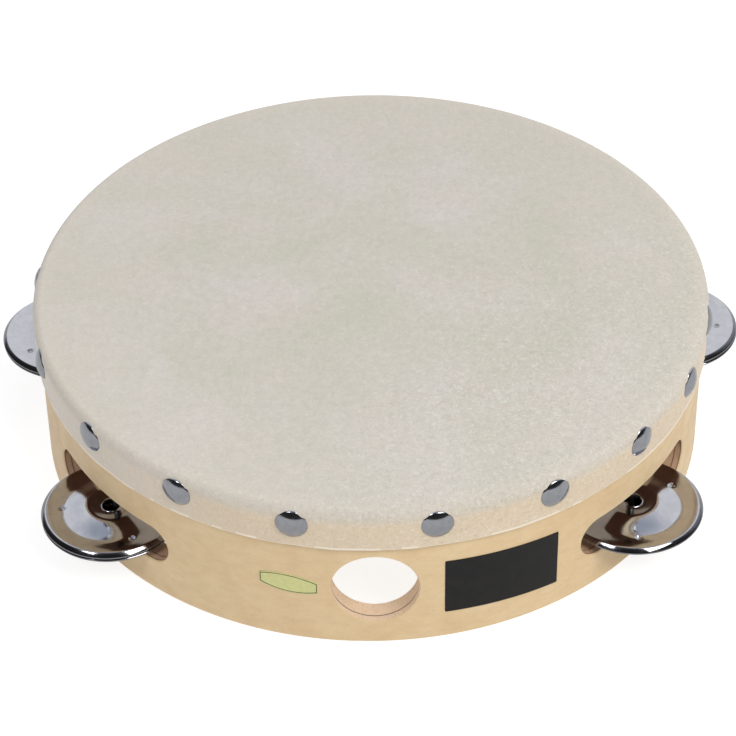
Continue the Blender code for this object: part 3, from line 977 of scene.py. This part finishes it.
def build_jingles(metal, shaded_rim_metal):
    points, faces = lathe(jingle_outline(), jingle_turns())
    dented = [(x, y, z - dimple_depth(x, y)) for x, y, z in points]
    mirrored = [(x, y, -z) for x, y, z in dented]
    for number, angle in enumerate(SLOT_ANGLES, 1):
        upper_out, upper_side, lower_out, lower_side = JINGLE_SHIFTS[number - 1]
        upper_turn, lower_turn = DIMPLE_TURNS[number - 1]
        pair = (
            ("upper", dented, upper_out, upper_side, UPPER_JINGLE_Z, upper_turn),
            ("lower", mirrored, lower_out, lower_side, LOWER_JINGLE_Z, lower_turn),
        )
        for which, shape, out, side, z, turn in pair:
            node = f"jingle_{number}_{which}"
            place = on_hoop(angle, PIN_CIRCLE_RADIUS + out, z) + sideways(angle) * side
            mesh = make_mesh(node, shape, faces)
            mesh.transform(Matrix.Rotation(math.radians(angle + turn), 4, "Z"))
            # Painted shade: the rim and skirt of each jingle take the darker rim metal.
            for face in mesh.polygons:
                if math.hypot(face.center.x, face.center.y) > JINGLE_RADIUS - JINGLE_RIM:
                    face.material_index = 1
            both = (metal, shaded_rim_metal)
            add_piece(node + "_disc", mesh, both, node, node, place)


# ---------------------------------------------------------------- labels


def badge_half_height(share, label):
    """Half the badge's height at a share of its half width: a rectangle with round corners."""
    into_corner = abs(share) * label["width"] / 2 - (label["width"] / 2 - BADGE_CORNER)
    if into_corner <= 0:
        return label["height"] / 2
    rise = math.sqrt(max(BADGE_CORNER**2 - into_corner**2, 0.0))
    return label["height"] / 2 - BADGE_CORNER + rise


def sticker_half_height(share, label):
    """Half the sticker's height at a share of its half width: a flat oval with cut-off ends."""
    return label["height"] / 2 * (1.0 - STICKER_TAPER * share**2)


def label_mesh(name, label, half_height, insets):
    """A thin sheet on the hoop's outer face. insets are the distances from its edge of the lines
    that its face is divided by; each ring between two lines has a material of its own."""
    columns = LABEL_COLUMNS
    shares = [-math.cos(math.pi * column / columns) for column in range(columns + 1)]
    rings = []
    for inset in insets:
        shrink = (label["width"] - 2 * inset) / label["width"]
        lower, upper = [], []
        for share in shares:
            half = half_height(share, label) - inset
            lower.append((share * shrink * label["width"] / 2, -half))
            upper.append((share * shrink * label["width"] / 2, half))
        rings.append(lower + upper[::-1])
    lowest, highest = HOOP_RADIUS - LABEL_SUNK, HOOP_RADIUS + LABEL_THICKNESS
    levels = [(rings[0], lowest)] + [(ring, highest) for ring in rings]
    points = []
    for ring, radius in levels:
        for along, up in ring:
            z = label["z"] + up + along * math.tan(math.radians(label["slant"]))
            points.append(on_hoop(label["angle"] + math.degrees(along / radius), radius, z))
    count = len(rings[0])
    faces = grid_faces(len(levels), count, False, True)
    kinds = [0] * count
    for ring in range(1, len(levels) - 1):
        kinds += [ring - 1] * count
    for first, kind in ((0, 0), ((len(levels) - 1) * count, len(rings) - 1)):
        for i in range(columns):
            faces.append([first + i, first + i + 1, first + count - 2 - i, first + count - 1 - i])
            kinds.append(kind)
    return make_mesh(name, points, faces, kinds)


def build_labels():
    black = badge_material()
    paper = paper_material("sticker_green", srgb(214, 214, 148), srgb(206, 206, 138))
    ink = paper_material("sticker_ink", srgb(84, 84, 52), srgb(70, 70, 44))
    badge = label_mesh("badge", BADGE, badge_half_height, BADGE_INSETS)
    add_piece("badge_plate", badge, (black, black), "badge")
    sticker = label_mesh("sticker", STICKER, sticker_half_height, STICKER_INSETS)
    add_piece("sticker_label", sticker, (paper, ink, paper), "sticker")


# ---------------------------------------------------------------- stage


def add_light(name, azimuth, size, power, colour):
    """A soft box aimed at the drum. Azimuth is measured as the hoop's angles are."""
    lamp = bpy.data.lights.new(name, "AREA")
    lamp.shape = "RECTANGLE"
    lamp.size, lamp.size_y = size
    lamp.energy = power
    lamp.color = colour
    obj = bpy.data.objects.new(name, lamp)
    bpy.context.scene.collection.objects.link(obj)
    rise = math.radians(LIGHT_ELEVATION)
    away = outward(azimuth) * math.cos(rise) + Vector((0.0, 0.0, math.sin(rise)))
    obj.location = AXIS + away * LIGHT_DISTANCE
    obj.rotation_euler = away.to_track_quat("Z", "Y").to_euler()


def build_floor():
    """A pale translucent table, lit a little from below."""
    material, tree, shader = new_material("floor_paper")
    shader.inputs["Base Color"].default_value = FLOOR_COLOUR
    shader.inputs["Roughness"].default_value = 0.9
    shader.inputs["Specular IOR Level"].default_value = 0.1
    shader.inputs["Emission Color"].default_value = (1.0, 1.0, 1.0, 1.0)
    mirrored = add_node(tree, "ShaderNodeLightPath").outputs["Is Glossy Ray"]
    glow = between(tree, mirrored, 0.0, 1.0, FLOOR_GLOW, FLOOR_MIRRORED_GLOW)
    tree.links.new(glow, shader.inputs["Emission Strength"])
    half = FLOOR_HALF_SIZE
    z = -FLOOR_GAP
    corners = [(-half, -half, z), (half, -half, z), (half, half, z), (-half, half, z)]
    mesh = bpy.data.meshes.new("floor")
    mesh.from_pydata(corners, [], [(0, 1, 2, 3)])
    mesh.materials.append(material)
    floor = bpy.data.objects.new("floor", mesh)
    bpy.context.scene.collection.objects.link(floor)


def build_world():
    """A soft studio: a bright backdrop behind, dimmer straight overhead and towards the front."""
    world = bpy.data.worlds.new("studio")
    bpy.context.scene.world = world
    world.use_nodes = True
    tree = world.node_tree
    background = tree.nodes["Background"]
    direction = add_node(tree, "ShaderNodeTexCoord").outputs["Generated"]
    inputs = {0: direction, 1: BACKDROP_DIRECTION}
    dot = add_node(tree, "ShaderNodeVectorMath", inputs, operation="DOT_PRODUCT")
    toward = dot.outputs["Value"]
    shade = ramp(tree, between(tree, toward, 0.05, 1.0), BACKDROP_STOPS)
    upward = add_node(tree, "ShaderNodeSeparateXYZ", {0: direction}).outputs["Z"]
    overhead = between(tree, upward, 0.72, 0.97, 0.0, 0.75)
    shade = mix(tree, overhead, shade, OVERHEAD_SHADE)
    seen = add_node(tree, "ShaderNodeLightPath").outputs["Is Camera Ray"]
    tree.links.new(mix(tree, seen, shade, SEEN_BACKDROP), background.inputs["Color"])


def build_camera():
    data = bpy.data.cameras.new("camera")
    camera = bpy.data.objects.new("camera", data)
    bpy.context.scene.collection.objects.link(camera)
    bpy.context.scene.camera = camera
    elevation = math.radians(CAMERA_ELEVATION)
    roll = math.radians(CAMERA_ROLL)
    back = Vector((0.0, -math.cos(elevation), math.sin(elevation)))
    right = Vector((1.0, 0.0, 0.0))
    up = right.cross(-back)
    rolled_right = right * math.cos(roll) + up * math.sin(roll)
    rolled_up = up * math.cos(roll) - right * math.sin(roll)
    placing = Matrix((rolled_right, rolled_up, back)).transposed().to_4x4()
    placing.translation = AXIS + Vector((0.0, 0.0, LOOK_HEIGHT)) + back * CAMERA_DISTANCE
    camera.matrix_world = placing
    data.sensor_width = CAMERA_SENSOR
    data.lens = CAMERA_LENS
    data.shift_x, data.shift_y = CAMERA_SHIFT
    data.clip_start = 0.01
    data.clip_end = 100.0


# ---------------------------------------------------------------- everything together

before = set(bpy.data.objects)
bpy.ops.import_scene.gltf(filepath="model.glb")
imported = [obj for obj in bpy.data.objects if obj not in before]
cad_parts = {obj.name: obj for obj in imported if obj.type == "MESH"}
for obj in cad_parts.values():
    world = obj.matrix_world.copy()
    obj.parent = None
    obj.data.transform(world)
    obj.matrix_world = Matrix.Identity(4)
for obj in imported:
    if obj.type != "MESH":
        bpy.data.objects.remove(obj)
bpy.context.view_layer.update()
low_corner, high_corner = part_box("hoop_inner_ply")
# Where the hoop's axis meets the ground, for every function above
AXIS = Vector(((low_corner.x + high_corner.x) / 2, (low_corner.y + high_corner.y) / 2, 0.0))

bpy.context.scene.view_settings.view_transform = "Standard"
build_hoop(wood_material(), cut_wood_material())
build_skin(hide_material("hide", False), hide_material("hide_cut_edge", True))
metals = []
for name, light, dark, roughness, ring_scale, scratch in METALS:
    metals.append(metal_material(name, srgb(*light), srgb(*dark), roughness, ring_scale, scratch))
nickel, jingle_metal, shaded_rim_metal, steel = metals
build_tacks(nickel)
build_pins(steel)
build_jingles(jingle_metal, shaded_rim_metal)
build_labels()
build_floor()
build_world()
for light in LIGHTS:
    add_light(*light)
build_camera()
